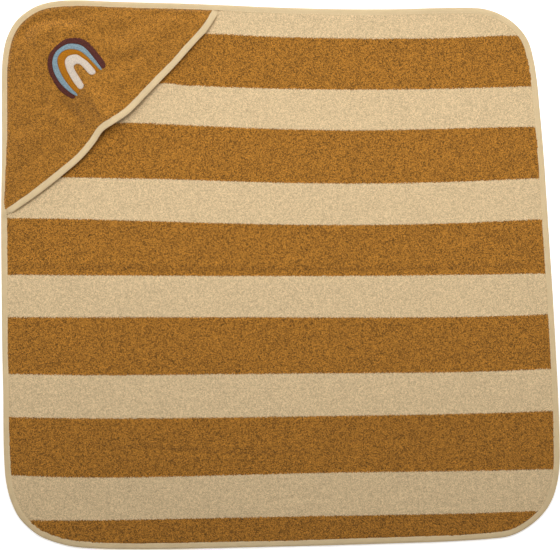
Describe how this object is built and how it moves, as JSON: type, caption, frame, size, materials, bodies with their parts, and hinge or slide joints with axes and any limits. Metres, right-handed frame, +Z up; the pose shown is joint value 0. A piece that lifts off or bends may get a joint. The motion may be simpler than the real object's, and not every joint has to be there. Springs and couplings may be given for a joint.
{
  "type": "hooded baby towel",
  "caption": "Square striped terry towel with rounded bound corners and a corner hood with an embroidered rainbow, laid flat.",
  "frame": {"origin": "on the floor plane under the middle of the laid towel's bounding box", "axes": "+Z up out of the towel's upper face, +X along the stripes, +Y towards the edge that the hood's upper side is sewn to; the hood is on the -X +Y corner"},
  "size_m": [0.8154, 0.8012, 0.0183],
  "materials": {
    "striped_terry": "cotton terry, loops on both faces, wide stripes of caramel and cream",
    "hood_terry": "plain caramel cotton terry",
    "binding_tape": "smooth woven cotton tape, folded over the edge",
    "sewing_thread": "matt spun polyester thread",
    "embroidery_plum": "rayon satin stitch",
    "embroidery_blue": "rayon satin stitch",
    "embroidery_ochre": "rayon satin stitch",
    "embroidery_pink": "rayon satin stitch",
    "backing": "thin white non-woven"
  },
  "bodies": {
    "towel": {"towel_main_panel": "striped_terry", "edge_binding_main": "binding_tape", "edge_needle_thread_main": "sewing_thread", "edge_bobbin_thread_main": "sewing_thread"},
    "hood_corner": {"towel_corner_panel": "striped_terry", "edge_binding_corner": "binding_tape", "edge_needle_thread_corner": "sewing_thread", "edge_bobbin_thread_corner": "sewing_thread"},
    "hood": {"hood_panel": "hood_terry", "hood_edge_binding": "binding_tape", "hood_needle_thread": "sewing_thread", "hood_bobbin_thread": "sewing_thread", "embroidery_outer_band": "embroidery_plum", "embroidery_second_band": "embroidery_blue", "embroidery_third_band": "embroidery_ochre", "embroidery_inner_band": "embroidery_pink", "embroidery_backing": "backing"}
  },
  "joints": [
    {"name": "corner_fold", "type": "hinge", "parent": "towel", "child": "hood_corner", "pos_m": [-0.21213, 0.21172, 0.006], "axis": [0.7071, 0.7071, 0], "range_deg": [0, 100]},
    {"name": "hood_open", "type": "hinge", "parent": "hood_corner", "child": "hood", "pos_m": [-0.37165, 0.37165, 0.0047], "axis": [-0.7071, -0.7071, 0], "range_deg": [0, 15]}
  ]
}
